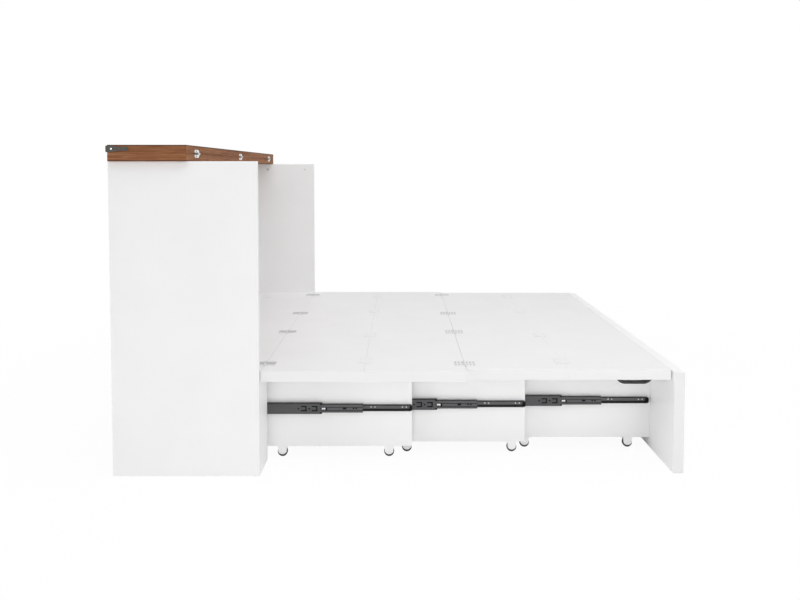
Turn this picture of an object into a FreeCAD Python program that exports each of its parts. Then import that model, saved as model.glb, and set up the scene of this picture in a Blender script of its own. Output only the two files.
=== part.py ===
import FreeCAD, Part
import os

# A cabinet wall bed, opened out: a white cabinet at the head, a flip top, a folding platform of four
# boards and a base of three nested boxes that roll out on telescopic slides.
# Millimetres. X runs from the wall to the foot, Z is up, and the left side is at minus Y.

# Cabinet
cabinet_width = 1600.0
cabinet_depth = 539.0
side_height = 1155.0
side_thickness = 18.0
back_thickness = 16.0
partition_thickness = 18.0
partition_inset = 144.0
filler_thickness = 18.0
wall_rail_height = 80.0
wall_rail_thickness = 18.0
anchor_spacing = 406.4
anchor_hole_diameter = 8.0
deck_thickness = 38.0
cam_cap_diameter = 14.0
dowel_cap_diameter = 8.0
cap_thickness = 1.5
cap_drop = 32.0
cam_cap_inset = 26.0
dowel_cap_inset = 53.0

# Flip top
top_thickness = 29.0
top_overhang = 20.0
top_setback = 8.0
lid_front_overhang = 30.5
top_gap = 0.5

# Flush hinges of the flip top
lid_hinge_length = 68.0
lid_hinge_flap = 15.0
lid_hinge_plate = 1.6
lid_hinge_barrel_radius = 2.6
lid_hinge_pin_radius = 1.2
lid_hinge_inset = 130.0

# Corner straps of the flip top
strap_length = 81.0
strap_height = 23.5
strap_waist_height = 12.0
strap_end_radius = 7.0
strap_end_thickness = 3.0
strap_edge_thickness = 6.0
rivet_radius = 3.5
rivet_height = 1.5
rivet_edge_round = 0.8
rivet_inset = 21.0
strap_waist_share = 0.68

# Folding platform
platform_top = 385.0
panel_thickness = 38.0
panel_pitch = 379.0
inner_panel_side_inset = 11.0
outer_panel_side_gap = 16.5
fold_clearance = 3.0
panel_gap = 0.6
free_end_clearance = 0.5

# Butt hinges of the platform, seated on the boards
hinge_axis_height = 3.5
hinge_length = 64.0
hinge_leaf_reach = 40.0
hinge_leaf_thickness = 2.0
hinge_barrel_radius = 3.2
hinge_pin_radius = 1.5
hinge_side_inset = 75.5
hinge_inner_share = 0.2826
barrel_clearance = 0.6
knuckle_gap = 0.3
pin_clearance = 0.05

# Joining plates across the seams that don't fold
plate_length = 70.0
plate_width = 58.0
plate_thickness = 1.5
plate_corner = 8.0
plate_side_inset = 110.5
plate_inner_share = 0.3817
deck_plate_inset = 142.0

# Lift handles under the outer board
handle_length = 137.0
handle_grip = 80.0
handle_drop = 28.5
handle_bar = 7.0
handle_foot = 11.0
handle_width = 30.0
handle_end_inset = 121.5
handle_side_inset = 53.5
handle_bend_x_share = 0.293
handle_bend_z_share = 0.707

# Base of nested boxes
box_bottom = 43.0
box_top_gap = 0.5
box_side_thickness = 24.0
box_rear_thickness = 12.0
box_rear_gap = 2.5
slide_space = 20.0
base_overhang = 32.5
box_back_gap = 2.0
box_a_tuck = 8.0
travel_difference = 62.5

# Footboard
footboard_side_inset = 17.0
footboard_thickness = 38.5
footboard_top_drop = 4.0
footboard_floor_gap = 3.0
footboard_gap = 1.5
footboard_end_gap = 6.0

# Four-member telescopic slides
slide_height = 198.0
slide_sheet = 1.5
slide_web_gap = 0.5
slide_channel_depth = 15.0
base_rail_height = 50.5
wide_rail_height = 41.5
middle_rail_height = 32.0
runner_height = 22.5
base_rail_setback = 9.0
base_rail_rear_gap = 30.0
rail_shortening = 100.0
runner_shortening = 80.0
runner_setback = 3.0
runner_setback_c = 13.5
middle_lag = 188.0
wide_lag = 348.0
bearing_length = 100.0
bearing_clearance = 0.3
tab_length = 22.0
tab_slot = 5.5
tab_spread = 16.0
tab_front = 27.0
tab_pitch = 42.0
tab_hole_radius = 3.4
tab_hole_lag = 21.0
middle_slot_length = 14.0
middle_slot_height = 7.5
middle_slot_front = 71.0
middle_hole_front = 36.5
middle_hole_pitch = 11.0
runner_hole_radius = 2.5
runner_hole_pitch = 15.0
runner_hole_front = 27.0
runner_hole_spread = 122.0

# Casters
wheel_radius = 19.5
wheel_width = 14.0
hub_radius = 13.5
axle_radius = 3.0
fork_plate = 2.5
fork_plate_length = 38.0
fork_top_width = 36.0
fork_eye_half = 16.0
fork_eye_drop = 10.0
wheel_side_gap = 0.75
caster_front_a = 89.5
caster_front_b = 51.0
caster_front_c = 87.5
caster_rear_a = 62.0
caster_rear_b = 86.0
caster_rear_c = 36.5

# Overrun of every cut
overrun = 1.0

# Places worked out from the sizes above
half_width = cabinet_width / 2
inside_half = half_width - side_thickness
fold_x = cabinet_depth + fold_clearance
closed_front = cabinet_depth + base_overhang
deck_bottom = platform_top - deck_thickness
deck_front = fold_x - panel_gap / 2
deck_seam_x = (back_thickness + deck_front) / 2
deck_plate_y = inside_half - deck_plate_inset
lid_front_when_shut = fold_x + lid_front_overhang
top_seam_x = (top_setback + lid_front_when_shut - top_gap) / 2
top_half = half_width + top_overhang
lid_bottom = side_height + top_thickness + top_gap
lid_top = lid_bottom + top_thickness
lid_middle = (lid_bottom + lid_top) / 2
lid_axis_x = top_seam_x + top_gap / 2
lid_axis_z = lid_bottom - top_gap / 2
partition_face = half_width - partition_inset
inner_panel_width = cabinet_width - 2 * inner_panel_side_inset
outer_panel_width = 2 * (inside_half - outer_panel_side_gap)
footboard_width = cabinet_width - 2 * footboard_side_inset
hinge_axis_z = platform_top + hinge_axis_height
second_fold_x = fold_x + 2 * panel_pitch
free_end_x = second_fold_x + 2 * panel_pitch - free_end_clearance
panel_bottom = platform_top - panel_thickness
box_top = deck_bottom - box_top_gap
box_step = box_side_thickness + slide_space
box_face_a = partition_face - slide_space
box_face_b = box_face_a - box_step
box_face_c = box_face_b - box_step
box_a_rear = cabinet_depth - box_a_tuck
box_a_travel = box_a_rear - box_back_gap
box_a_front = closed_front + box_a_travel
box_c_front = free_end_x + footboard_end_gap
shared_travel = box_c_front - footboard_gap - box_a_front
box_b_travel = (shared_travel - travel_difference) / 2
box_c_travel = (shared_travel + travel_difference) / 2
box_b_front = box_a_front + box_b_travel
box_b_rear = box_a_rear + box_b_travel + box_rear_thickness + box_rear_gap
box_c_rear = box_b_rear + box_c_travel + box_rear_thickness + box_rear_gap
bed_length = box_c_front + footboard_thickness
base_rail_length = cabinet_depth - base_rail_setback - base_rail_rear_gap
rail_length = base_rail_length - rail_shortening
runner_length = base_rail_length - runner_shortening
hinge_outer_y = outer_panel_width / 2 - hinge_side_inset
hinge_inner_y = hinge_outer_y * hinge_inner_share
plate_outer_y = outer_panel_width / 2 - plate_side_inset
plate_inner_y = plate_outer_y * plate_inner_share
hinge_places = (-hinge_outer_y, -hinge_inner_y, hinge_inner_y, hinge_outer_y)
plate_places = (-plate_outer_y, -plate_inner_y, plate_inner_y, plate_outer_y)

os.makedirs("parts", exist_ok=True)


def block(x0, x1, y0, y1, z0, z1):
    """A box between two corners."""
    return Part.makeBox(x1 - x0, y1 - y0, z1 - z0, FreeCAD.Vector(x0, y0, z0))


def rod(x, z, radius, y0, y1):
    """A cylinder along Y."""
    return Part.makeCylinder(radius, y1 - y0, FreeCAD.Vector(x, y0, z), FreeCAD.Vector(0, 1, 0))


def mirrored(shape):
    """The same piece on the other side of the bed."""
    return shape.mirror(FreeCAD.Vector(0, 0, 0), FreeCAD.Vector(0, 1, 0))


def pair(shapes):
    """Pieces of the left side, and the same pieces on the right side."""
    return list(shapes) + [mirrored(shape) for shape in shapes]


def prism(edges, direction):
    """A closed outline drawn out along a direction."""
    return Part.Face(Part.Wire(edges)).extrude(direction)


def line(a, b):
    return Part.LineSegment(a, b).toShape()


def arc(a, b, c):
    return Part.Arc(a, b, c).toShape()


def save(node, shapes):
    """Writes one node, with the origin under the middle of the whole bed."""
    solids = [solid for shape in shapes for solid in shape.Solids]
    whole = solids[0] if len(solids) == 1 else Part.makeCompound(solids)
    whole = whole.copy()
    whole.translate(FreeCAD.Vector(-bed_length / 2, 0, 0))
    whole.exportStep("parts/%s.step" % node)


# Cabinet boards

def side_panel():
    return block(0, cabinet_depth, -half_width, -inside_half, 0, side_height)


def anchor_holes():
    """Two holes for wall screws, on stud spacing, through the rail and the back."""
    reach = back_thickness + wall_rail_thickness + 2 * overrun
    z = side_height - wall_rail_height / 2
    return [
        Part.makeCylinder(
            anchor_hole_diameter / 2, reach, FreeCAD.Vector(-overrun, y, z), FreeCAD.Vector(1, 0, 0)
        )
        for y in (-anchor_spacing / 2, anchor_spacing / 2)
    ]


def back_panel():
    panel = block(0, back_thickness, -inside_half, inside_half, deck_bottom, side_height)
    return panel.cut(anchor_holes())


def wall_rail():
    front = back_thickness + wall_rail_thickness
    bottom = side_height - wall_rail_height
    rail = block(back_thickness, front, -inside_half, inside_half, bottom, side_height)
    return rail.cut(anchor_holes())


def deck_board(x0, x1):
    return block(x0, x1, -inside_half, inside_half, deck_bottom, platform_top)


def partition():
    outer = partition_face + partition_thickness
    return block(0, cabinet_depth - filler_thickness, -outer, -partition_face, 0, deck_bottom)


def front_filler():
    rear = cabinet_depth - filler_thickness
    return block(rear, cabinet_depth, -inside_half, -partition_face, 0, deck_bottom)


def caps():
    """Covers of the knock-down fittings inside the side panels, close under the top."""
    z = side_height - cap_drop
    cam_x = top_seam_x - cam_cap_inset
    dowel_x = cabinet_depth - dowel_cap_inset
    places = ((cam_x, cam_cap_diameter), (dowel_x, dowel_cap_diameter))
    return [rod(x, z, size / 2, -inside_half, cap_thickness - inside_half) for x, size in places]


save("side_panel_left", [side_panel()])
save("side_panel_right", [mirrored(side_panel())])
save("back_panel", [back_panel()])
save("wall_rail", [wall_rail()])
save("deck_rear_board", [deck_board(back_thickness, deck_seam_x)])
save("deck_front_board", [deck_board(deck_seam_x, deck_front)])
save("partition_left", [partition()])
save("partition_right", [mirrored(partition())])
save("front_filler_left", [front_filler()])
save("front_filler_right", [mirrored(front_filler())])
save("fitting_caps", pair(caps()))


# Flip top: a fixed rear board and a front board that flips back on it

def lid_hinge_places():
    outer = top_half - lid_hinge_inset
    return (-outer, 0, outer)


def lid_hinge_recess(y, z0, z1):
    """What a hinge takes out of one board's edge: the plate's seat and room for the barrel."""
    y0 = y - lid_hinge_length / 2
    y1 = y + lid_hinge_length / 2
    seat = block(top_seam_x - lid_hinge_plate, top_seam_x + overrun, y0, y1, z0, z1)
    room = rod(lid_axis_x, lid_axis_z, lid_hinge_barrel_radius + barrel_clearance, y0, y1)
    return seat.fuse(room)


def fixed_top_board():
    bottom = side_height
    board = block(top_setback, top_seam_x, -top_half, top_half, bottom, bottom + top_thickness)
    low = lid_axis_z - lid_hinge_flap
    return board.cut([lid_hinge_recess(y, low, lid_axis_z) for y in lid_hinge_places()])


def lid_board():
    board = block(top_setback, top_seam_x, -top_half, top_half, lid_bottom, lid_top)
    high = lid_axis_z + lid_hinge_flap
    return board.cut([lid_hinge_recess(y, lid_axis_z, high) for y in lid_hinge_places()])


def knuckle_span(y, length, moving):
    """The stretches of a hinge's barrel that belong to its fixed or its moving half."""
    third = length / 3
    if moving:
        return [(y - third / 2 + knuckle_gap / 2, y + third / 2 - knuckle_gap / 2)]
    return [
        (y - length / 2, y - third / 2 - knuckle_gap / 2),
        (y + third / 2 + knuckle_gap / 2, y + length / 2),
    ]


def lid_hinge_half(y, moving):
    """A plate let into a board's edge, with its share of the barrel."""
    rise = barrel_clearance + lid_hinge_barrel_radius
    z0, z1 = lid_axis_z - lid_hinge_flap, lid_axis_z - rise
    if moving:
        z0, z1 = lid_axis_z + rise, lid_axis_z + lid_hinge_flap
    x0 = top_seam_x - lid_hinge_plate
    y0 = y - lid_hinge_length / 2
    half = block(x0, top_seam_x, y0, y0 + lid_hinge_length, z0, z1)
    bore = lid_hinge_pin_radius + pin_clearance
    for start, stop in knuckle_span(y, lid_hinge_length, moving):
        tongue = block(x0, top_seam_x, start, stop, min(z0, lid_axis_z), max(z1, lid_axis_z))
        barrel = rod(lid_axis_x, lid_axis_z, lid_hinge_barrel_radius, start, stop)
        half = half.fuse([tongue, barrel])
    hole = rod(lid_axis_x, lid_axis_z, bore, y0 - overrun, y0 + lid_hinge_length + overrun)
    return half.cut(hole).removeSplitter()


def lid_hinge_pin(y):
    y0 = y - lid_hinge_length / 2
    return rod(lid_axis_x, lid_axis_z, lid_hinge_pin_radius, y0, y0 + lid_hinge_length)


def strap_leg(along, across, corner):
    """One leg of a corner strap: broad at the corner, narrow at the waist, with a rounded end."""
    up = FreeCAD.Vector(0, 0, 1)
    waist = strap_length * strap_waist_share
    end = strap_length - strap_end_radius

    def at(distance, height):
        return corner + along * distance + up * height

    root = strap_height / 2
    thin = strap_waist_height / 2
    edges = [
        line(at(0, -root), at(waist, -thin)),
        line(at(waist, -thin), at(end, -strap_end_radius)),
        arc(at(end, -strap_end_radius), at(strap_length, 0), at(end, strap_end_radius)),
        line(at(end, strap_end_radius), at(waist, thin)),
        line(at(waist, thin), at(0, root)),
        line(at(0, root), at(0, -root)),
    ]
    return prism(edges, across)


def corner_strap():
    """A forged strap round the corner of the lid that is at the front when the bed is shut."""
    x = top_setback - strap_edge_thickness
    corner = FreeCAD.Vector(x, -top_half - strap_end_thickness, lid_middle)
    along_end = strap_leg(
        FreeCAD.Vector(1, 0, 0), FreeCAD.Vector(0, strap_end_thickness, 0), corner
    )
    along_edge = strap_leg(
        FreeCAD.Vector(0, 1, 0), FreeCAD.Vector(strap_edge_thickness, 0, 0), corner
    )
    return along_end.fuse(along_edge).removeSplitter()


def strap_rivet(place, outward):
    rivet = Part.makeCylinder(rivet_radius, rivet_height, place, outward)
    rim = [
        edge for edge in rivet.Edges
        if (edge.CenterOfMass - place).dot(outward) > rivet_height - rivet_edge_round
    ]
    return rivet.makeFillet(rivet_edge_round, rim)


def strap_rivets():
    x = top_setback - strap_edge_thickness
    end_y = -top_half - strap_end_thickness
    on_end = FreeCAD.Vector(x + rivet_inset, end_y, lid_middle)
    on_edge = FreeCAD.Vector(x, end_y + rivet_inset, lid_middle)
    return [
        strap_rivet(on_end, FreeCAD.Vector(0, -1, 0)),
        strap_rivet(on_edge, FreeCAD.Vector(-1, 0, 0)),
    ]


save("fixed_top_board", [fixed_top_board()])
save("lid_board", [lid_board()])
fixed_halves = [lid_hinge_half(y, False) for y in lid_hinge_places()]
lid_pins = [lid_hinge_pin(y) for y in lid_hinge_places()]
save("lid_hinge_bodies", fixed_halves + lid_pins)
save("lid_hinge_flaps", [lid_hinge_half(y, True) for y in lid_hinge_places()])
save("corner_straps", pair([corner_strap()]))
save("strap_rivets", pair(strap_rivets()))


# Folding platform

def platform_board(x0, x1, width):
    return block(x0, x1, -width / 2, width / 2, panel_bottom, platform_top)


def hinge_leaf(axis_x, y, side, moving):
    """One leaf of a butt hinge, on the left (side -1) or the right (side 1) of its axis."""
    y0 = y - hinge_length / 2
    y1 = y + hinge_length / 2
    top = platform_top + hinge_leaf_thickness
    near = axis_x + side * (hinge_barrel_radius + barrel_clearance)
    far = axis_x + side * hinge_leaf_reach
    leaf = block(min(near, far), max(near, far), y0, y1, platform_top, top)
    for start, stop in knuckle_span(y, hinge_length, moving):
        tongue = block(min(near, axis_x), max(near, axis_x), start, stop, platform_top, top)
        barrel = rod(axis_x, hinge_axis_z, hinge_barrel_radius, start, stop)
        leaf = leaf.fuse([tongue, barrel])
    bore = rod(axis_x, hinge_axis_z, hinge_pin_radius + pin_clearance, y0 - overrun, y1 + overrun)
    return leaf.cut(bore).removeSplitter()


def hinge_pin(axis_x, y):
    return rod(axis_x, hinge_axis_z, hinge_pin_radius, y - hinge_length / 2, y + hinge_length / 2)


def leaves(axis_x, side, moving):
    return [hinge_leaf(axis_x, y, side, moving) for y in hinge_places]


def pins(axis_x):
    return [hinge_pin(axis_x, y) for y in hinge_places]


def joining_plate(x, y):
    """A flat plate with round corners, screwed down across a seam."""
    plate = block(
        x - plate_width / 2, x + plate_width / 2, y - plate_length / 2, y + plate_length / 2,
        platform_top, platform_top + plate_thickness,
    )
    upright = [edge for edge in plate.Edges if abs(edge.tangentAt(0).z) > abs(edge.tangentAt(0).x)]
    upright = [edge for edge in upright if abs(edge.tangentAt(0).z) > abs(edge.tangentAt(0).y)]
    return plate.makeFillet(plate_corner, upright)


def lift_handle():
    """A bow handle of bent bar under the outer board, close to its free end."""
    x = free_end_x - handle_end_inset
    y = handle_side_inset - outer_panel_width / 2 - handle_width / 2

    def bow(half_length, half_grip, drop):
        """The points of one side of the bar, from foot to foot."""
        run = half_length - half_grip
        bend_x = half_length - run * handle_bend_x_share
        bend_z = panel_bottom - drop * handle_bend_z_share
        low = panel_bottom - drop
        return [
            FreeCAD.Vector(x - half_length, y, panel_bottom),
            FreeCAD.Vector(x - bend_x, y, bend_z),
            FreeCAD.Vector(x - half_grip, y, low),
            FreeCAD.Vector(x + half_grip, y, low),
            FreeCAD.Vector(x + bend_x, y, bend_z),
            FreeCAD.Vector(x + half_length, y, panel_bottom),
        ]

    outer = bow(handle_length / 2, handle_grip / 2, handle_drop)
    inner = bow(handle_length / 2 - handle_foot, handle_grip / 2 - handle_bar, handle_drop - handle_bar)
    edges = [
        arc(*outer[0:3]), line(outer[2], outer[3]), arc(*outer[3:6]), line(outer[5], inner[5]),
        arc(inner[5], inner[4], inner[3]), line(inner[3], inner[2]), arc(inner[2], inner[1], inner[0]),
        line(inner[0], outer[0]),
    ]
    return prism(edges, FreeCAD.Vector(0, handle_width, 0))


def seam(number):
    """Where the platform's boards meet: seam 0 is at the cabinet."""
    return fold_x + number * panel_pitch


half_gap = panel_gap / 2
save("platform_board_1", [platform_board(seam(0) + half_gap, seam(1), inner_panel_width)])
save("platform_board_2", [platform_board(seam(1), seam(2) - half_gap, inner_panel_width)])
save("platform_board_3", [platform_board(seam(2) + half_gap, seam(3), outer_panel_width)])
save("platform_board_4", [platform_board(seam(3), free_end_x, outer_panel_width)])
save("deck_joining_plates", pair([joining_plate(deck_seam_x, -deck_plate_y)]))
save("inner_joining_plates", [joining_plate(seam(1), y) for y in plate_places])
save("outer_joining_plates", [joining_plate(seam(3), y) for y in plate_places])
save("deck_hinge_fixed_leaves", leaves(seam(0), -1, False) + pins(seam(0)))
save("deck_hinge_moving_leaves", leaves(seam(0), 1, True))
save("fold_hinge_inner_leaves", leaves(seam(2), -1, False) + pins(seam(2)))
save("fold_hinge_outer_leaves", leaves(seam(2), 1, True))
save("lift_handles", pair([lift_handle()]))


# Telescopic slides: each has a base rail on its carrier, two loose rails and a runner on its box

def channel(x0, x1, face_y, web, tip, height):
    """A U-shaped rail: its web stands off the carrier's face, and its two flanges reach to the tip."""
    low = slide_height - height / 2
    high = slide_height + height / 2
    y_web = face_y + web
    y_tip = face_y + tip
    outside = block(x0, x1, min(y_web, y_tip), max(y_web, y_tip), low, high)
    inner_web = y_web + slide_sheet if tip > web else y_web - slide_sheet
    past_tip = y_tip + overrun if tip > web else y_tip - overrun
    inside = block(
        x0 - overrun, x1 + overrun, min(inner_web, past_tip), max(inner_web, past_tip),
        low + slide_sheet, high - slide_sheet,
    )
    return outside.cut(inside)


def bearing_strips(x, face_y, web, tip, height, outer_height):
    """The strips of balls over and under a rail's rear end, which carry it in the rail outside it."""
    room = (outer_height - height) / 2 - slide_sheet
    thick = room - bearing_clearance
    y0 = face_y + min(web, tip)
    y1 = face_y + max(web, tip)
    high = slide_height + height / 2
    low = slide_height - height / 2
    return [
        block(x, x + bearing_length, y0, y1, high, high + thick),
        block(x, x + bearing_length, y0, y1, low - thick, low),
    ]


def web_slot(x, length, z, height, face_y, web):
    """A cut through a rail's web."""
    y0 = face_y + web - overrun
    y1 = face_y + web + slide_sheet + overrun
    return block(x - length / 2, x + length / 2, y0, y1, z - height / 2, z + height / 2)


def web_hole(x, radius, face_y, web):
    return rod(x, slide_height, radius, face_y + web - overrun, face_y + web + slide_sheet + overrun)


wide_web = slide_sheet + slide_web_gap
middle_web = wide_web + slide_sheet + slide_web_gap
runner_tip = middle_web + slide_sheet + slide_web_gap


def base_rail(front, face_y):
    return [channel(front - base_rail_length, front, face_y, 0, slide_channel_depth, base_rail_height)]


def wide_rail(front, face_y):
    """The rail next to the base rail, with two lanced tabs close to its front end."""
    rear = front - rail_length
    rail = channel(rear, front, face_y, wide_web, slide_channel_depth, wide_rail_height)
    cuts = []
    for x in (front - tab_front, front - tab_front - tab_pitch):
        for z in (slide_height - tab_spread / 2, slide_height + tab_spread / 2):
            cuts.append(web_slot(x, tab_length, z, tab_slot, face_y, wide_web))
        root = x + tab_length / 2 - tab_slot / 2
        cuts.append(web_slot(root, tab_slot, slide_height, tab_spread, face_y, wide_web))
        cuts.append(web_hole(x - tab_hole_lag, tab_hole_radius, face_y, wide_web))
    strips = bearing_strips(
        rear, face_y, wide_web, slide_channel_depth, wide_rail_height, base_rail_height
    )
    return [rail.cut(cuts)] + strips


def middle_rail(front, face_y):
    rear = front - rail_length
    rail = channel(rear, front, face_y, middle_web, slide_channel_depth, middle_rail_height)
    slot_x = front - middle_slot_front
    hole_x = front - middle_hole_front
    cuts = [
        web_slot(slot_x, middle_slot_length, slide_height, middle_slot_height, face_y, middle_web),
        web_hole(hole_x, tab_hole_radius, face_y, middle_web),
        web_hole(hole_x + middle_hole_pitch, tab_hole_radius, face_y, middle_web),
    ]
    strips = bearing_strips(
        rear, face_y, middle_web, slide_channel_depth, middle_rail_height, wide_rail_height
    )
    return [rail.cut(cuts)] + strips


def runner(front, face_y):
    """The rail that is screwed to the box, open towards its carrier."""
    rear = front - runner_length
    rail = channel(rear, front, face_y, slide_space, runner_tip, runner_height)
    cuts = []
    for x in (front - runner_hole_front, front - runner_hole_front - runner_hole_spread):
        for hole in (x - runner_hole_pitch / 2, x + runner_hole_pitch / 2):
            cuts.append(web_hole(hole, runner_hole_radius, face_y, slide_space - slide_sheet))
    strips = bearing_strips(
        rear, face_y, slide_channel_depth, runner_tip, runner_height, middle_rail_height
    )
    return [rail.cut(cuts)] + strips


def save_slide(name, carrier_face, carrier_front, box_front, setback):
    face_y = -carrier_face
    runner_front = box_front - setback
    save("slide_%s_base_rails" % name, pair(base_rail(carrier_front - base_rail_setback, face_y)))
    save("slide_%s_wide_rails" % name, pair(wide_rail(runner_front - wide_lag, face_y)))
    save("slide_%s_middle_rails" % name, pair(middle_rail(runner_front - middle_lag, face_y)))
    save("slide_%s_runners" % name, pair(runner(runner_front, face_y)))


save_slide("a", partition_face, cabinet_depth, box_a_front, runner_setback)
save_slide("b", box_face_a - box_side_thickness, box_a_front, box_b_front, runner_setback)
save_slide("c", box_face_b - box_side_thickness, box_b_front, box_c_front, runner_setback_c)


# Base boxes, each with two sides, a rear board and four casters

def box_side(rear, front, face):
    return block(rear, front, -face, box_side_thickness - face, box_bottom, box_top)


def box_rear(rear, face):
    inside = face - box_side_thickness
    return block(rear, rear + box_rear_thickness, -inside, inside, box_bottom, box_top)


def caster_fork(x, y):
    """A caster's body: a top plate under the box's side, and a cheek on each side of the wheel."""
    cheek_gap = wheel_width + 2 * wheel_side_gap
    outer = cheek_gap / 2 + fork_plate
    plate_bottom = box_bottom - fork_plate
    half_plate = fork_plate_length / 2
    body = block(x - half_plate, x + half_plate, y - outer, y + outer, plate_bottom, box_bottom)
    half_top = fork_top_width / 2
    for start in (y - outer, y + cheek_gap / 2):

        def at(dx, z):
            return FreeCAD.Vector(x + dx, start, z)

        edges = [
            line(at(-half_top, box_bottom), at(-fork_eye_half, wheel_radius)),
            arc(
                at(-fork_eye_half, wheel_radius),
                at(0, wheel_radius - fork_eye_drop),
                at(fork_eye_half, wheel_radius),
            ),
            line(at(fork_eye_half, wheel_radius), at(half_top, box_bottom)),
            line(at(half_top, box_bottom), at(-half_top, box_bottom)),
        ]
        body = body.fuse(prism(edges, FreeCAD.Vector(0, fork_plate, 0)))
    axle = rod(x, wheel_radius, axle_radius, y - outer, y + outer)
    return [body.removeSplitter().cut(axle), axle]


def wheel(x, y):
    """A hub that runs on the axle, and a tyre on the hub."""
    y0 = y - wheel_width / 2
    y1 = y + wheel_width / 2
    hub = rod(x, wheel_radius, hub_radius, y0, y1)
    hub = hub.cut(rod(x, wheel_radius, axle_radius + pin_clearance, y0 - overrun, y1 + overrun))
    tyre = rod(x, wheel_radius, wheel_radius, y0, y1)
    tyre = tyre.cut(rod(x, wheel_radius, hub_radius, y0 - overrun, y1 + overrun))
    return [hub, tyre]


def save_box(name, rear, front, face, caster_front, caster_rear):
    side = box_side(rear, front, face)
    save("box_%s_side_left" % name, [side])
    save("box_%s_side_right" % name, [mirrored(side)])
    save("box_%s_rear" % name, [box_rear(rear, face)])
    y = box_side_thickness / 2 - face
    front_axle = front - caster_front
    rear_axle = rear + caster_rear
    save("box_%s_caster_forks" % name, pair(caster_fork(front_axle, y) + caster_fork(rear_axle, y)))
    save("box_%s_front_wheels" % name, pair(wheel(front_axle, y)))
    save("box_%s_rear_wheels" % name, pair(wheel(rear_axle, y)))


def footboard():
    half = footboard_width / 2
    top = platform_top - footboard_top_drop
    return block(box_c_front, bed_length, -half, half, footboard_floor_gap, top)


save_box("a", box_a_rear, box_a_front, box_face_a, caster_front_a, caster_rear_a)
save_box("b", box_b_rear, box_b_front, box_face_b, caster_front_b, caster_rear_b)
save_box("c", box_c_rear, box_c_front, box_face_c, caster_front_c, caster_rear_c)
save("footboard", [footboard()])
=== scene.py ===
import math

import bmesh
import bpy
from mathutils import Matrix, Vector, noise


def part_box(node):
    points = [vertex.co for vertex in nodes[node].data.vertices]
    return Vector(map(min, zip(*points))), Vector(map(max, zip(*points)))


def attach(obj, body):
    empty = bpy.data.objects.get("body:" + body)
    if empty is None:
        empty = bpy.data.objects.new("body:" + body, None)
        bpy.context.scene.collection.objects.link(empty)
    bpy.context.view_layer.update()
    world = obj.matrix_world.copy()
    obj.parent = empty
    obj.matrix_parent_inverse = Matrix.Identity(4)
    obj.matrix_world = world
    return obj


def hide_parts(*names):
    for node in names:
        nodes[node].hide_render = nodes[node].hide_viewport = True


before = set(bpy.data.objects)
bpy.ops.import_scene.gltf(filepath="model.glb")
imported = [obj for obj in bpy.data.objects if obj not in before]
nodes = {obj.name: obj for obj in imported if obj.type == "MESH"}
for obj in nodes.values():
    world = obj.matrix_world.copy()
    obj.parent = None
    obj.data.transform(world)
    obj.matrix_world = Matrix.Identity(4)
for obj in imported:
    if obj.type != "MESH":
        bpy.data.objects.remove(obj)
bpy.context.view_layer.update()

# A white cabinet bed, opened out. Pieces are in millimetres, x from the wall and y from the middle. Lengths
# that go straight into sockets are in metres.

scene = bpy.context.scene
wall_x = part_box("side_panel_left")[0].x
MM = 0.001


def at(x, y, z):
    """A point of the bed in metres."""
    return Vector((wall_x + x * MM, y * MM, z * MM))


def span(node):
    """A node's lowest and highest corners in millimetres, from the wall."""
    low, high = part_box(node)
    shift = Vector((wall_x, 0, 0))
    return (low - shift) / MM, (high - shift) / MM


# Shared node groups and the small helpers that build them

VALUE, COLOUR, VECTOR = "NodeSocketFloat", "NodeSocketColor", "NodeSocketVector"


def shade(red, green, blue):
    """A colour as it shows on a screen, from 0 to 255, in the linear values that sockets take."""
    def linear(level):
        level /= 255
        return level / 12.92 if level <= 0.04045 else ((level + 0.055) / 1.055) ** 2.4
    return linear(red), linear(green), linear(blue), 1


def tones(*levels):
    """Several colours in a row. A single level is a grey."""
    return [shade(*level) if isinstance(level, tuple) else shade(level, level, level) for level in levels]


def add(tree, kind, inputs=None, **settings):
    """A new node. Each input is a value, or the socket that feeds it."""
    made = tree.nodes.new(kind)
    for name, value in settings.items():
        setattr(made, name, value)
    for key, value in (inputs or {}).items():
        if isinstance(value, bpy.types.NodeSocket):
            tree.links.new(value, made.inputs[key])
        else:
            made.inputs[key].default_value = value
    return made


def maths(tree, operation, first, second=0.0):
    """One step of arithmetic."""
    return add(tree, "ShaderNodeMath", {0: first, 1: second}, operation=operation).outputs[0]


def spread(tree, value, low, high, to_low=0.0, to_high=1.0):
    """A value's range from low to high, laid over another range."""
    inputs = {"Value": value, "From Min": low, "From Max": high, "To Min": to_low, "To Max": to_high}
    return add(tree, "ShaderNodeMapRange", inputs).outputs[0]


def blend(tree, share, first, second):
    """Two colours mixed by a share."""
    return add(tree, "ShaderNodeMix", {0: share, 6: first, 7: second}, data_type="RGBA").outputs[2]


def place_on(tree, kind="Object"):
    """Where a point lies on its piece, or with "Normal" the way that it faces."""
    return add(tree, "ShaderNodeTexCoord").outputs[kind]


def split(tree, kind="Object"):
    """That place, or the way that it faces, as X, Y and Z."""
    return add(tree, "ShaderNodeSeparateXYZ", {0: place_on(tree, kind)}).outputs


def cloud(tree, vector, scale, detail, rough):
    """Soft noise, from 0 to 1."""
    inputs = {"Vector": vector, "Scale": scale, "Detail": detail, "Roughness": rough}
    return add(tree, "ShaderNodeTexNoise", inputs).outputs[0]


def new_group(name, takes, gives):
    """An empty group: its tree, the sockets that it takes in and the sockets that it gives out."""
    tree = bpy.data.node_groups.new(name, "ShaderNodeTree")
    for label, kind, value in takes:
        tree.interface.new_socket(label, in_out="INPUT", socket_type=kind).default_value = value
    for label, kind in gives:
        tree.interface.new_socket(label, in_out="OUTPUT", socket_type=kind)
    return tree, tree.nodes.new("NodeGroupInput").outputs, tree.nodes.new("NodeGroupOutput").inputs


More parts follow.
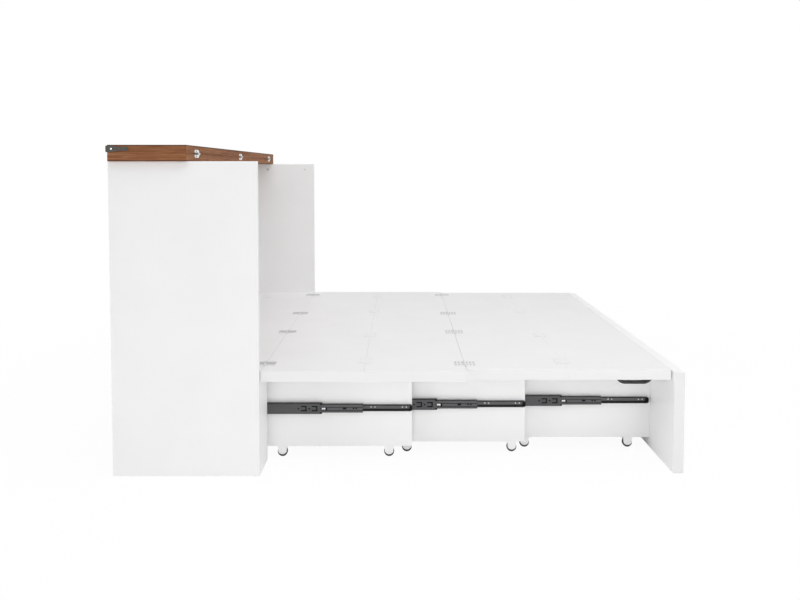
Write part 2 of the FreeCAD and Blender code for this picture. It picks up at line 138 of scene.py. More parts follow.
def fine_texture_group():
    """A finely pebbled skin with broad, soft unevenness."""
    takes = [("Pebble Scale", VALUE, 900.0), ("Mottle Scale", VALUE, 6.0)]
    tree, takes, gives = new_group("fine_texture", takes, [("Height", VALUE), ("Mottle", VALUE)])
    place = place_on(tree)
    tree.links.new(cloud(tree, place, takes["Pebble Scale"], 2, 0.6), gives["Height"])
    broad = cloud(tree, place, takes["Mottle Scale"], 4, 0.55)
    tree.links.new(spread(tree, broad, 0.35, 0.65), gives["Mottle"])
    return tree


def edge_group():
    """How close a point is to an edge, a little broken up: a mask for rubbed wear, and for painted shade
    along the edges of the joining plates and the slides' rails.
    """
    takes = [("Width", VALUE, 0.0015), ("Break Up", VALUE, 160.0)]
    tree, takes, gives = new_group("edge_wear_and_shade", takes, [("Mask", VALUE)])
    rounded = add(tree, "ShaderNodeBevel", {"Radius": takes["Width"]}, samples=6).outputs[0]
    flat = add(tree, "ShaderNodeNewGeometry").outputs["True Normal"]
    turned_away = add(tree, "ShaderNodeVectorMath", {0: rounded, 1: flat}, operation="DOT_PRODUCT")
    near = spread(tree, turned_away.outputs["Value"], 0.995, 0.8)
    patchy = spread(tree, cloud(tree, place_on(tree), takes["Break Up"], 3, 0.6), 0.3, 0.6, 0.45, 1.0)
    tree.links.new(maths(tree, "MULTIPLY", near, patchy), gives["Mask"])
    return tree


def streak_group():
    """Fine lines drawn out along one way of the metal."""
    takes = [("Stretch", VECTOR, (6.0, 700.0, 700.0))]
    tree, takes, gives = new_group("drawn_streaks", takes, [("Streak", VALUE), ("Height", VALUE)])
    ways = {0: place_on(tree), 1: takes["Stretch"]}
    drawn = add(tree, "ShaderNodeVectorMath", ways, operation="MULTIPLY").outputs[0]
    lines = cloud(tree, drawn, 1.0, 3, 0.6)
    tree.links.new(spread(tree, lines, 0.3, 0.7), gives["Streak"])
    tree.links.new(lines, gives["Height"])
    return tree


def smudge_group():
    """Soft marks of handling, which change the gloss."""
    tree, takes, gives = new_group("handling_marks", [("Scale", VALUE, 14.0)], [("Smudge", VALUE)])
    warp = cloud(tree, place_on(tree), takes["Scale"], 5, 0.65)
    tree.links.new(spread(tree, warp, 0.42, 0.68), gives["Smudge"])
    return tree


def rail_shade_group():
    """Where a rail's painted shade lies, by height off the rail's middle: dark lips at its top and bottom,
    and dark lines along its web.
    """
    takes = [
        ("Middle", VALUE, 0.2), ("Half", VALUE, 0.02), ("Lip", VALUE, 0.003),
        ("Upper Line", VALUE, 1.0), ("Lower Line", VALUE, 1.0), ("Line Width", VALUE, 0.0016),
    ]
    tree, takes, gives = new_group("rail_painted_shade", takes, [("Mask", VALUE)])
    off = maths(tree, "SUBTRACT", split(tree)["Z"], takes["Middle"])
    start = maths(tree, "SUBTRACT", takes["Half"], takes["Lip"])
    mask = spread(tree, maths(tree, "ABSOLUTE", off), start, takes["Half"])
    for line in ("Upper Line", "Lower Line"):
        away = maths(tree, "ABSOLUTE", maths(tree, "SUBTRACT", off, takes[line]))
        mask = maths(tree, "MAXIMUM", mask, spread(tree, away, takes["Line Width"], 0.0))
    tree.links.new(mask, gives["Mask"])
    return tree


def wood_group():
    """Grain along the length of each face: dark pores and fine fibre over broad bands of colour."""
    takes = [(label, COLOUR, (0, 0, 0, 1)) for label in ("Dark", "Middle", "Light")]
    gives = [("Colour", COLOUR), ("Height", VALUE), ("Band", VALUE)]
    tree, takes, gives = new_group("wood_figure", takes, gives)
    place, facing = split(tree), split(tree, "Normal")
    at_end = maths(tree, "GREATER_THAN", maths(tree, "ABSOLUTE", facing["Y"]), 0.7)

    def either(on_end, elsewhere):
        return add(tree, "ShaderNodeMix", {0: at_end, 2: elsewhere, 3: on_end}, data_type="FLOAT").outputs[0]

    along = either(place["X"], place["Y"])
    across = either(place["Y"], place["X"])

    def stretched(run, width, height):
        inputs = {
            0: maths(tree, "MULTIPLY", along, run),
            1: maths(tree, "MULTIPLY", across, width),
            2: maths(tree, "MULTIPLY", place["Z"], height),
        }
        return add(tree, "ShaderNodeCombineXYZ", inputs).outputs[0]

    sway = maths(tree, "MULTIPLY", cloud(tree, stretched(2.2, 5, 6), 1.0, 2, 0.5), 0.9)
    broad = cloud(tree, stretched(1.6, 22, 62), 1.0, 4, 0.55)
    band = spread(tree, maths(tree, "ADD", broad, maths(tree, "MULTIPLY", sway, 0.25)), 0.3, 0.85)
    fibre = cloud(tree, stretched(9, 330, 420), 1.0, 3, 0.6)
    pore = spread(tree, cloud(tree, stretched(26, 620, 640), 1.0, 2, 0.5), 0.58, 0.72)
    body = blend(tree, band, takes["Dark"], takes["Middle"])
    lit = spread(tree, fibre, 0.45, 0.75)
    body = blend(tree, maths(tree, "MULTIPLY", lit, 0.75), body, takes["Light"])
    body = blend(tree, maths(tree, "MULTIPLY", pore, 0.65), body, takes["Dark"])
    tree.links.new(body, gives["Colour"])
    tree.links.new(maths(tree, "SUBTRACT", fibre, maths(tree, "MULTIPLY", pore, 0.6)), gives["Height"])
    tree.links.new(band, gives["Band"])
    return tree


fine_texture = fine_texture_group()
edge_wear_and_shade = edge_group()
drawn_streaks = streak_group()
handling_marks = smudge_group()
wood_figure = wood_group()
rail_painted_shade = rail_shade_group()


# Finishes

# How fine lines stretch over metal
ALONG_X, ALONG_Y = (7.0, 800.0, 800.0), (800.0, 7.0, 800.0)
# Middle of the slides, half the height of each rail, and the place of a painted shade line that a rail lacks
SLIDE_Z = 198.0
BASE_HALF, WIDE_HALF, MIDDLE_HALF, RUNNER_HALF = 25.25, 20.75, 16.0, 11.25
NO_LINE = 1000.0
# Where the wood's dark rim starts and is full, in from the outer faces
RIM_START, RIM_FULL = 4.5, 1.5


def new_finish(name, **plain):
    """A material with its shader. Plain values are the same all over the surface."""
    made = bpy.data.materials.new(name)
    made.use_nodes = True
    shader = made.node_tree.nodes["Principled BSDF"]
    for key, value in plain.items():
        shader.inputs[key.replace("_", " ")].default_value = value
    return made, made.node_tree, shader


def placed(tree, group, **values):
    """A shared group put into a material with its own values."""
    made = tree.nodes.new("ShaderNodeGroup")
    made.node_tree = group
    for key, value in values.items():
        made.inputs[key.replace("_", " ")].default_value = value
    return made.outputs


def dress(tree, shader, colour, roughness, height, strength, depth):
    """Feeds a shader its colour, its roughness and a fine height that only the light sees."""
    bump = add(tree, "ShaderNodeBump", {"Height": height, "Strength": strength, "Distance": depth})
    for socket, name in ((colour, "Base Color"), (roughness, "Roughness"), (bump.outputs[0], "Normal")):
        tree.links.new(socket, shader.inputs[name])


def laminate(name, colour, shadow, band, gloss, pebble=850.0, depth=0.00012, side_shade_grey=None):
    """White board: pebbled foil on the faces, a shade off along every edge, painted shade on faces turned to
    the sides.
    """
    made, tree, shader = new_finish(name)
    skin = placed(tree, fine_texture, Pebble_Scale=pebble, Mottle_Scale=5.0)
    edge = placed(tree, edge_wear_and_shade, Width=0.0014, Break_Up=60.0)["Mask"]
    marks = placed(tree, handling_marks, Scale=7.0)["Smudge"]
    face = blend(tree, skin["Mottle"], shadow, colour)
    face = blend(tree, edge, face, band)
    # Painted shade: faces turned to the bed's sides take a darker grey.
    if side_shade_grey:
        at_end = spread(tree, maths(tree, "ABSOLUTE", split(tree, "Normal")["Y"]), 0.6, 0.8)
        face = blend(tree, at_end, face, tones(side_shade_grey)[0])
    dress(tree, shader, face, spread(tree, marks, 0, 1, gloss, gloss + 0.1), skin["Height"], 0.12, depth)
    return made


def walnut(name, dark, middle, light, edge_colour, seam_z, reach):
    """Brown printed wood grain, darker along its edges, most of all where the two boards' outer faces end."""
    made, tree, shader = new_finish(name, Specular_IOR_Level=0.1)
    grain = placed(tree, wood_figure, Dark=dark, Middle=middle, Light=light)
    edge = placed(tree, edge_wear_and_shade, Width=0.0022, Break_Up=40.0)["Mask"]
    edge = spread(tree, edge, 0.05, 0.5, 0.0, 0.5)
    upright = spread(tree, maths(tree, "ABSOLUTE", split(tree, "Normal")["Z"]), 0.8, 0.4)
    off_seam = maths(tree, "ABSOLUTE", maths(tree, "SUBTRACT", split(tree)["Z"], seam_z * MM))
    rim = spread(tree, off_seam, (reach - RIM_START) * MM, (reach - RIM_FULL) * MM, 0.0, 0.95)
    edge = maths(tree, "MAXIMUM", edge, maths(tree, "MULTIPLY", rim, upright))
    face = blend(tree, edge, grain["Colour"], edge_colour)
    dress(tree, shader, face, spread(tree, grain["Band"], 0, 1, 0.68, 0.58), grain["Height"], 0.35, 0.0004)
    return made


def metal(name, colour, shadow, edge_tone, gloss, metallic, stretch=ALONG_X):
    """Sheet metal with drawn lines, handled places and edges rubbed to another tone."""
    made, tree, shader = new_finish(name, Metallic=metallic)
    lines = placed(tree, drawn_streaks, Stretch=stretch)
    edge = placed(tree, edge_wear_and_shade, Width=0.0008, Break_Up=220.0)["Mask"]
    marks = placed(tree, handling_marks, Scale=26.0)["Smudge"]
    face = blend(tree, lines["Streak"], shadow, colour)
    face = blend(tree, edge, face, edge_tone)
    streaky = maths(tree, "MULTIPLY", lines["Streak"], 0.08)
    dull = maths(tree, "ADD", streaky, maths(tree, "MULTIPLY", marks, 0.14))
    dress(tree, shader, face, maths(tree, "ADD", dull, gloss), lines["Height"], 0.25, 0.00008)
    return made


def rail_steel(name, colour, shadow, dark, half, lip, lines=(NO_LINE, NO_LINE), line_width=2.6):
    """Black zinc on a slide's rail: drawn lines, and painted shade as dark lips, dark lines along the web and
    darker edges.
    """
    made, tree, shader = new_finish(name, Metallic=0.3, Specular_IOR_Level=0.25)
    drawn = placed(tree, drawn_streaks, Stretch=ALONG_X)
    marks = placed(tree, handling_marks, Scale=26.0)["Smudge"]
    edge = placed(tree, edge_wear_and_shade, Width=0.0012, Break_Up=220.0)["Mask"]
    painted_shade_lines = placed(
        tree, rail_painted_shade, Middle=SLIDE_Z * MM, Half=half * MM, Lip=lip * MM,
        Upper_Line=lines[0] * MM, Lower_Line=lines[1] * MM, Line_Width=line_width * MM,
    )["Mask"]
    face = blend(tree, drawn["Streak"], shadow, colour)
    # Painted shade: the lips, the lines along the web and, in part, the edges take the dark colour.
    shaded = maths(tree, "MAXIMUM", maths(tree, "MULTIPLY", edge, 0.6), painted_shade_lines)
    face = blend(tree, shaded, face, dark)
    dress(tree, shader, face, spread(tree, marks, 0, 1, 0.38, 0.54), drawn["Height"], 0.25, 0.00008)
    return made


def forged_iron(name, colour, hollow, edge_tone):
    """Black iron with hammer marks, rubbed paler on its high places."""
    made, tree, shader = new_finish(name, Metallic=0.35)
    hammered = {"Vector": place_on(tree), "Scale": 330.0}
    dents = add(tree, "ShaderNodeTexVoronoi", hammered, feature="SMOOTH_F1").outputs[0]
    skin = placed(tree, fine_texture, Pebble_Scale=1500.0, Mottle_Scale=60.0)
    edge = placed(tree, edge_wear_and_shade, Width=0.0014, Break_Up=300.0)["Mask"]
    face = blend(tree, spread(tree, dents, 0.1, 0.75), hollow, colour)
    face = blend(tree, maths(tree, "MULTIPLY", edge, 0.8), face, edge_tone)
    height = maths(tree, "ADD", dents, maths(tree, "MULTIPLY", skin["Height"], 0.25))
    dress(tree, shader, face, spread(tree, skin["Mottle"], 0, 1, 0.36, 0.52), height, 0.55, 0.0006)
    return made


def moulded(name, colour, shadow, edge_tone, gloss, pebble=1600.0, depth=0.00012, sheen=0.5):
    """Moulded plastic, enamel or rubber: a fine skin, soft marks and edges of another tone, which on the
    joining plates is painted shade.
    """
    made, tree, shader = new_finish(name, Specular_IOR_Level=sheen)
    skin = placed(tree, fine_texture, Pebble_Scale=pebble, Mottle_Scale=40.0)
    edge = placed(tree, edge_wear_and_shade, Width=0.0009, Break_Up=240.0)["Mask"]
    marks = placed(tree, handling_marks, Scale=34.0)["Smudge"]
    face = blend(tree, skin["Mottle"], shadow, colour)
    face = blend(tree, edge, face, edge_tone)
    dress(tree, shader, face, spread(tree, marks, 0, 1, gloss, gloss + 0.14), skin["Height"], 0.2, depth)
    return made


top_low, top_high = span("fixed_top_board")[0], span("lid_board")[1]
# The white laminates are copies of one white board: paler for the footboard, the boxes, the fillers and the
# cabinet's inside, which stand in shade, than for the cabinet's sides and the platform. That difference is
# painted light.
finish = {
    "cabinet": laminate("cabinet_laminate", *tones(243, 241, 244), gloss=0.42),
    "platform": laminate("platform_laminate", *tones(242, 240, 243), gloss=0.46, side_shade_grey=236),
    "footboard": laminate("footboard_painted_light_laminate", *tones(251, 249, 250), gloss=0.46, side_shade_grey=233),
    "base": laminate("base_painted_light_laminate", *tones(252, 250, 253), gloss=0.44),
    "inside": laminate(
        "inside_painted_light_foil", *tones(250, 248, (238, 237, 235)), gloss=0.52, pebble=500.0, depth=0.0002,
    ),
    "top": walnut(
        "walnut_grain", *tones((98, 57, 35), (157, 106, 72), (186, 134, 95), (62, 39, 28)),
        seam_z=(top_low.z + top_high.z) / 2, reach=(top_high.z - top_low.z) / 2,
    ),
    "strap": forged_iron("forged_strap_iron", *tones((92, 91, 86), (62, 62, 58), (120, 119, 113))),
    "rivet": metal("rivet_nickel", *tones(246, 232, 250), gloss=0.16, metallic=1.0),
    "lid_hinge": metal(
        "lid_hinge_nickel", *tones((236, 235, 232), (214, 213, 210), (247, 247, 246)),
        gloss=0.24, metallic=1.0, stretch=ALONG_Y,
    ),
    # A dark copy of the hinge nickel for the near and middle knuckles: painted shade.
    "knuckle": metal(
        "knuckle_painted_shade", *tones((96, 94, 91), (72, 70, 68), (150, 149, 146)),
        gloss=0.34, metallic=0.7, stretch=ALONG_Y,
    ),
    "butt_hinge": metal(
        "butt_hinge_zinc", *tones((234, 234, 235), (229, 229, 230), 222),
        gloss=0.45, metallic=0.1, stretch=ALONG_Y,
    ),
    # Grey of a bar laid on the deck hinges' leaves: painted shade.
    "hinge_painted_shade": metal("hinge_painted_shade_zinc", *tones((196, 196, 197), (186, 186, 188), 206), gloss=0.45, metallic=0.1),
    "hinge_screw": metal(
        "hinge_screw_zinc", *tones((164, 164, 165), (148, 148, 150), 182), gloss=0.42, metallic=0.3,
    ),
    "screw": metal("screw_zinc", *tones((136, 136, 137), (112, 112, 114), 160), gloss=0.4, metallic=0.5),
    # The dark edge colour of the joining plates is a painted shade line round each plate.
    "plate": moulded("plate_enamel", *tones(241, 239, 164), gloss=0.46),
    "plate_screw": moulded("plate_screw_enamel", *tones(226, 220, 196), gloss=0.4),
    # The third colour of each rail is the dark of its painted shade.
    "base_rail": rail_steel(
        "base_rail_zinc", *tones((88, 88, 89), (74, 74, 75), (36, 36, 37)), half=BASE_HALF, lip=3.0,
    ),
    "wide_rail": rail_steel(
        "wide_rail_zinc", *tones((93, 93, 94), (79, 79, 80), (34, 34, 35)), half=WIDE_HALF, lip=3.6,
    ),
    "middle_rail": rail_steel(
        "middle_rail_zinc", *tones((101, 101, 102), (86, 86, 87), (28, 28, 29)), half=MIDDLE_HALF, lip=3.2,
        lines=(4.5, -8.5),
    ),
    "runner": rail_steel(
        "runner_zinc", *tones((118, 118, 119), (102, 102, 103), (22, 22, 23)), half=RUNNER_HALF, lip=3.6,
        lines=(NO_LINE, -8.8), line_width=4.0,
    ),
    # Dark grey for the strip in the inner seam: a painted shadow.
    "seam": moulded("seam_painted_shadow", *tones(176, 166, 158), gloss=0.6),
    "lever": moulded("lever_plastic", *tones((244, 244, 242), (236, 236, 234), (248, 248, 247)), gloss=0.32),
    # Black rubber for the stops and plugs, and for the dark sheets behind slots, which are painted shade.
    "bumper": moulded("dark_rubber_and_painted_shade", *tones(22, 15, 34), gloss=0.6, sheen=0.15),
    "cap": moulded("cap_plastic_skin", *tones((206, 207, 209), (198, 199, 201), (190, 190, 192)), gloss=0.4),
    "caster": moulded("caster_nylon", *tones(254, 252, 255), gloss=0.4),
    "tyre": moulded("tyre_rubber", *tones(62, 50, (78, 78, 77)), gloss=0.62, pebble=900.0, depth=0.0003),
    "handle": moulded(
        "handle_black_coat", *tones((58, 58, 59), (48, 48, 49), 82), gloss=0.55, pebble=1300.0, depth=0.0002,
    ),
}


# Mesh helpers

SHARP_ANGLE = 35


def prism(shape, outline, way, look=0):
    """A closed outline drawn out along a way."""
    base = [shape.verts.new(point) for point in outline]
    top = [shape.verts.new(point + way) for point in outline]
    faces = [shape.faces.new(base), shape.faces.new(top[::-1])]
    for i, corner in enumerate(base):
        j = (i + 1) % len(base)
        faces.append(shape.faces.new((base[j], corner, top[i], top[j])))
    for face in faces:
        face.material_index = look


def skirt(shape, first, second, look=0):
    """Faces between two rings that have as many corners."""
    for i, corner in enumerate(first):
        j = (i + 1) % len(first)
        shape.faces.new((corner, first[j], second[j], second[i])).material_index = look


def turned(shape, profile, foot, axis, steps=28, look=0):
    """A turned form: its profile gives radius and height in millimetres along an axis from its foot."""
    spin = Vector((0, 0, 1)).rotation_difference(Vector(axis)).to_matrix()
    rings = []
    for radius, height in profile:
        count = steps if radius else 1
        ring = []
        for i in range(count):
            angle = 2 * math.pi * i / count
            point = Vector((radius * math.cos(angle), radius * math.sin(angle), height)) * MM
            ring.append(shape.verts.new(foot + spin @ point))
        rings.append(ring)
    for lower, upper in zip(rings, rings[1:]):
        for i in range(steps):
            j = (i + 1) % steps
            loop = [lower[i % len(lower)], lower[j % len(lower)]]
            loop += [upper[j % len(upper)], upper[i % len(upper)]]
            shape.faces.new(list(dict.fromkeys(loop))).material_index = look
    for ring in (rings[0][::-1], rings[-1]):
        if len(ring) > 1:
            shape.faces.new(ring).material_index = look


def joined(shape, rings):
    """A skin over rings of points in order, closed at both ends."""
    loops = [[shape.verts.new(point) for point in ring] for ring in rings]
    for first, second in zip(loops, loops[1:]):
        skirt(shape, first, second)
    shape.faces.new(loops[0][::-1])
    shape.faces.new(loops[-1])


def soften(shape, width):
    """Rounds every sharp edge."""
    bmesh.ops.recalc_face_normals(shape, faces=shape.faces)
    sharp = [
        edge for edge in shape.edges
        if len(edge.link_faces) == 2 and edge.calc_face_angle(0) > math.radians(SHARP_ANGLE)
    ]
    bmesh.ops.bevel(
        shape, geom=sharp, offset=width * MM, segments=2, profile=0.5, affect="EDGES", clamp_overlap=True,
    )


def mirror(shape):
    """Adds the same pieces on the other side of the bed."""
    whole = shape.verts[:] + shape.edges[:] + shape.faces[:]
    copied = bmesh.ops.duplicate(shape, geom=whole)["geom"]
    for vert in copied:
        if isinstance(vert, bmesh.types.BMVert):
            vert.co.y = -vert.co.y
    faces = [face for face in copied if isinstance(face, bmesh.types.BMFace)]
    bmesh.ops.reverse_faces(shape, faces=faces)


def flat_outline(x0, x1, y0, y1, radii=0, steps=6):
    """A flat outline, counter-clockwise from its lowest corner. A single radius serves all four corners."""
    if not isinstance(radii, tuple):
        radii = (radii,) * 4
    corners = (
        (x0, y0, 1, 1, math.pi), (x1, y0, -1, 1, 1.5 * math.pi),
        (x1, y1, -1, -1, 0), (x0, y1, 1, -1, 0.5 * math.pi),
    )
    outline = []
    for (x, y, dx, dy, start), radius in zip(corners, radii):
        for i in range(steps + 1 if radius else 1):
            angle = start + math.pi / 2 * i / steps
            outline.append((x + radius * (dx + math.cos(angle)), y + radius * (dy + math.sin(angle))))
    return outline


def piece(name, shape, looks, body, stands_for=(), smooth=SHARP_ANGLE):
    """A finished piece that moves with a body."""
    bmesh.ops.recalc_face_normals(shape, faces=shape.faces)
    mesh = bpy.data.meshes.new(name)
    shape.to_mesh(mesh)
    shape.free()
    mesh.shade_smooth()
    mesh.set_sharp_from_angle(angle=math.radians(smooth))
    for look in looks:
        mesh.materials.append(finish[look])
    made = bpy.data.objects.new(name, mesh)
    scene.collection.objects.link(made)
    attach(made, body)
    if stands_for:
        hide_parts(*stands_for)


# Screw heads

SCREW_STEPS, HEAD_SUNK = 16, 0.1
# Rings from the rim in: radius, rise and whether the cross recess cuts them, in shares of the head's radius
SCREW_RINGS = (
    (1.0, 0.0, False), (0.93, 0.14, False), (0.66, 0.24, False), (0.58, 0.26, True), (0.3, 0.28, True),
)
CROSS_DEPTH, SCREW_MIDDLE, SCREW_FOOT = 0.42, -0.2, 0.3


def screw(shape, place, out, radius, look=0):
    """A round screw head with a cross recess."""
    spin = Vector((0, 0, 1)).rotation_difference(Vector(out)).to_matrix()
    rings = []
    for share, rise, recessed in SCREW_RINGS:
        ring = []
        for i in range(SCREW_STEPS):
            angle = 2 * math.pi * i / SCREW_STEPS
            sunk = CROSS_DEPTH if recessed and i % 4 == 0 else 0.0
            point = Vector((share * math.cos(angle), share * math.sin(angle), rise - sunk)) * radius * MM
            ring.append(shape.verts.new(place + spin @ point))
        rings.append(ring)
    middle = shape.verts.new(place + spin @ Vector((0, 0, SCREW_MIDDLE * radius * MM)))
    for outer, inner in zip(rings, rings[1:]):
        skirt(shape, outer, inner, look)
    for corner, after in zip(rings[-1], rings[-1][1:] + rings[-1][:1]):
        shape.faces.new((corner, after, middle)).material_index = look
    down = spin @ Vector((0, 0, SCREW_FOOT * radius * MM))
    foot = [shape.verts.new(vert.co - down) for vert in rings[0]]
    skirt(shape, foot, rings[0], look)
    shape.faces.new(foot[::-1]).material_index = look


# Boards, plates and rails that keep their solids

WELD_REACH, FLAT_ANGLE, EDGE_ANGLE = 0.00001, 0.5, 40


def finished(node, look):
    """A node's own solid with its finish."""
    part = nodes[node]
    part.data.materials.clear()
    part.data.materials.append(finish[look])
    return part


def eased(node, look, width, steps=3):
    """A node's own solid with its finish and rounded edges."""
    part = finished(node, look)
    join = part.modifiers.new("joined_corners", "WELD")
    join.merge_threshold = WELD_REACH
    whole = part.modifiers.new("whole_faces", "DECIMATE")
    whole.decimate_type = "DISSOLVE"
    whole.angle_limit = math.radians(FLAT_ANGLE)
    ease = part.modifiers.new("eased_edges", "BEVEL")
    ease.width = width * MM
    ease.segments = steps
    ease.limit_method = "ANGLE"
    ease.angle_limit = math.radians(EDGE_ANGLE)
    ease.use_clamp_overlap = True
    part.modifiers.new("even_light", "WEIGHTED_NORMAL").keep_sharp = False


# Look, width of the eased edges, and solids
EASED = (
    ("cabinet", 1.2, ["side_panel_left", "side_panel_right"]),
    ("inside", 1.2, ["back_panel", "wall_rail", "partition_left", "partition_right"]),
    ("platform", 1.2, ["deck_rear_board", "platform_board_2", "platform_board_3", "platform_board_4"]),
    ("platform", 0.4, ["deck_front_board", "platform_board_1"]),
    ("footboard", 1.2, ["footboard"]),
    ("base", 1.2, ["front_filler_left", "front_filler_right"] + [
        "box_%s_%s" % (box, board) for box in "abc" for board in ("side_left", "side_right", "rear")
    ]),
    ("top", 0.7, ["fixed_top_board", "lid_board"]),
    ("plate", 0.5, ["deck_joining_plates", "inner_joining_plates", "outer_joining_plates"]),
    ("cap", 0.4, ["fitting_caps"]),
)
FORK_EASE, FORK_STEPS = 0.5, 2
for look, width, solids in EASED:
    for solid in solids:
        eased(solid, look, width)
for slide in "abc":
    for rail in ("base_rail", "wide_rail", "middle_rail", "runner"):
        finished("slide_%s_%ss" % (slide, rail), rail)
    eased("box_%s_caster_forks" % slide, "caster", FORK_EASE, FORK_STEPS)


# Corner straps of the flip top

STRAP_LENGTH, STRAP_END, STRAP_TIP_SQUARE = 81.0, 7.0, 0.15
STRAP_HALF, STRAP_WAIST_HALF = 11.75, 6.0
STRAP_SHOULDER, STRAP_WAIST = 13.0, 55.0
STRAP_CORNER, CORNER_STEPS = 3.0, 6
TIP_STOPS = (0.05, 0.4, 1.2, 2.4, 4.2)
LEG_START, LEG_STEP, LEG_STOPS = 6.0, 1.5, 48
STRAP_FACE = (-1.0, -0.93, -0.72, -0.48, -0.24, 0.0, 0.24, 0.48, 0.72, 0.93, 1.0)
STRAP_EDGE_DROP = {1.0: 1.1, 0.93: 0.4}
HAMMER_SCALE, HAMMER_DEPTH = 0.16, 0.32
STRAP_WELD = 0.02
BENT_ANGLE = 50


def ramp(value, start, stop):
    """A smooth step from 0 to 1."""
    share = min(max((value - start) / (stop - start), 0), 1)
    return share * share * (3 - 2 * share)


def strap_half_height(along):
    """Half the strap's height at a distance from the corner."""
    end = STRAP_LENGTH - STRAP_END
    if along > end:
        return math.sqrt(max(STRAP_END ** 2 - (along - end) ** 2, STRAP_TIP_SQUARE))
    half = STRAP_HALF + (STRAP_WAIST_HALF - STRAP_HALF) * ramp(along, STRAP_SHOULDER, STRAP_WAIST)
    return half + (STRAP_END - STRAP_WAIST_HALF) * ramp(along, STRAP_WAIST, end)


def strap_places(low):
    """Stops along the strap from one spade end round the corner to the other: distance, place and way out."""
    stops = [STRAP_LENGTH - tip for tip in TIP_STOPS]
    stops += [STRAP_LENGTH - LEG_START - LEG_STEP * i for i in range(LEG_STOPS)]
    stops = [stop for stop in stops if stop > STRAP_CORNER]
    places = [(along, Vector((low.x + along, low.y)), Vector((0, -1))) for along in stops]
    centre = Vector((low.x + STRAP_CORNER, low.y + STRAP_CORNER))
    for i in range(CORNER_STEPS + 1):
        angle = math.pi / 2 * i / CORNER_STEPS
        out = Vector((-math.sin(angle), -math.cos(angle)))
        places.append((0.0, centre + out * STRAP_CORNER, out))
    places += [(along, Vector((low.x, low.y + along)), Vector((-1, 0))) for along in reversed(stops)]
    return places


def strap_rings(low, board_low, middle):
    """Rings of the strap's section, hammered on the outside and flat against the board."""
    rings = []
    for along, outer, out in strap_places(low):
        half = strap_half_height(along)
        ring = []
        for share in STRAP_FACE:
            spot = Vector((outer.x, outer.y, share * half)) * HAMMER_SCALE
            dent = HAMMER_DEPTH * (0.5 + 0.5 * noise.noise(spot))
            point = outer - out * (STRAP_EDGE_DROP.get(abs(share), 0.0) + dent)
            ring.append(at(point.x, point.y, middle + share * half))
        inner = Vector((max(outer.x, board_low.x), max(outer.y, board_low.y)))
        ring += [at(inner.x, inner.y, middle + half), at(inner.x, inner.y, middle - half)]
        rings.append(ring)
    return rings


strap_low = span("corner_straps")[0]
lid_low, lid_high = span("lid_board")
lid_middle = (lid_low.z + lid_high.z) / 2
straps = bmesh.new()
joined(straps, strap_rings(strap_low, lid_low, lid_middle))
bmesh.ops.remove_doubles(straps, verts=straps.verts, dist=STRAP_WELD * MM)
mirror(straps)
piece("forged_corner_straps", straps, ["strap"], "lid", ["corner_straps"], BENT_ANGLE)

RIVET_INSET = 21.0
RIVET_DOME = (
    (3.6, -0.3), (3.6, 0.25), (3.3, 0.4), (3.2, 0.5), (2.9, 0.95), (2.2, 1.3), (1.1, 1.48), (0, 1.5),
)
rivets = bmesh.new()
for place, out in (
    (at(strap_low.x + RIVET_INSET, strap_low.y, lid_middle), (0, -1, 0)),
    (at(strap_low.x, strap_low.y + RIVET_INSET, lid_middle), (-1, 0, 0)),
):
    turned(rivets, RIVET_DOME, place, out)
mirror(rivets)
piece("domed_strap_rivets", rivets, ["rivet"], "lid", ["strap_rivets"])


# Flush hinges of the flip top

LID_HINGE_LENGTH, LID_HINGE_FLAP, LID_HINGE_PLATE, LID_HINGE_SUNK = 68.0, 15.0, 1.6, 0.8
LID_BARREL, LID_RISE, LID_AXIS_OFF = 2.6, 4.2, 0.25
LID_PLATE_NEAR, LID_PLATE_TURN, LID_PLATE_ROUND = -27.0, 17.0, 7.0
LID_TONGUE_LAP, LID_TONGUE_SHARE = 0.4, 0.9
SLIT_ANGLE, TURN_STEPS, ROUND_STEPS = 2.0, 12, 8
KNUCKLE_EASE, KNUCKLE_GAP, KNUCKLE_STEPS = 0.4, 0.3, 24
NICKEL, NICKEL_SHADED, ZINC = 0, 1, 2
# Screws: place along the hinge, radius and look
LID_SCREWS, LID_SCREW_RISE = ((-7.0, 3.6, ZINC), (11.0, 2.6, NICKEL)), 9.6


def knuckle(shape, x, y0, y1, z, radius, look):
    """One knuckle of a hinge's barrel, with eased ends."""
    length = y1 - y0
    profile = (
        (radius - KNUCKLE_EASE, 0), (radius, KNUCKLE_EASE),
        (radius, length - KNUCKLE_EASE), (radius - KNUCKLE_EASE, length),
    )
    turned(shape, profile, at(x, y0, z), (0, 1, 0), KNUCKLE_STEPS, look)


def knuckles(y, length, moving):
    """The stretches of a barrel that belong to one half of a hinge."""
    sixth, gap = length / 6, KNUCKLE_GAP / 2
    if moving:
        return [(y - sixth + gap, y + sixth - gap)]
    return [(y - length / 2, y - sixth - gap), (y + sixth + gap, y + length / 2)]


def lid_hinge_outline():
    """Half of a flush hinge's face: a slit along the middle, closed by a round far end."""
    outline = [(LID_PLATE_NEAR, LID_RISE)]
    turns = [math.radians(SLIT_ANGLE + (90 - SLIT_ANGLE) * i / TURN_STEPS) for i in range(TURN_STEPS + 1)]
    for radius, order in ((LID_RISE, turns[::-1]), (LID_HINGE_FLAP, turns)):
        for turn in order:
            outline.append((LID_PLATE_TURN + radius * math.cos(turn), radius * math.sin(turn)))
    for i in range(ROUND_STEPS + 1):
        turn = math.pi / 2 * (1 + i / ROUND_STEPS)
        outline.append((
            LID_PLATE_NEAR + LID_PLATE_ROUND * (1 + math.cos(turn)),
            LID_HINGE_FLAP - LID_PLATE_ROUND * (1 - math.sin(turn)),
        ))
    return outline


